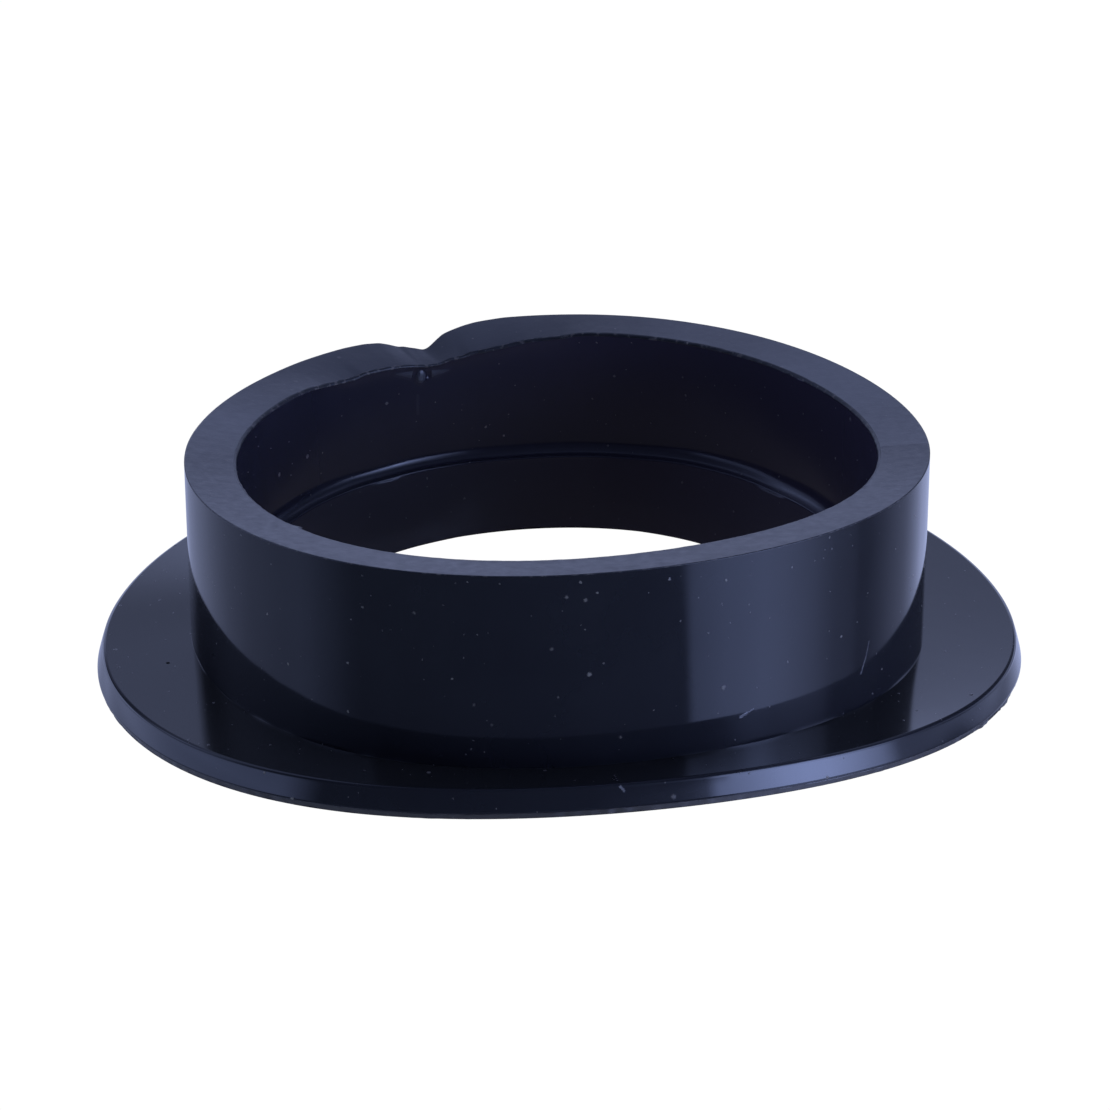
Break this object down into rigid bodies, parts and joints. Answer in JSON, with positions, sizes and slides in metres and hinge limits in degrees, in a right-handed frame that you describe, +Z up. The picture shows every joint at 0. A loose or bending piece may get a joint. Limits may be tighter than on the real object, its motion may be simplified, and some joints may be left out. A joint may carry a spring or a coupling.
{
  "type": "toilet flange seal",
  "caption": "Short thick-walled rubber collar standing on a thin wider flange, open right through: the push-in seal between a toilet's outlet and the closet flange or soil pipe.",
  "frame": {"origin": "centre of the bore on the underside of the flange, where the seal rests", "axes": "+Z up along the bore's axis, from the flange towards the collar's free rim; +X and +Y across, with the rim's dent at 113 degrees from +X towards +Y"},
  "size_m": [0.1142, 0.1142, 0.0274],
  "materials": {
    "rubber": "gloss black rubber with a navy tint, matt where the mould's flash was trimmed"
  },
  "bodies": {
    "root": {"flange_seal": "rubber"}
  },
  "joints": []
}
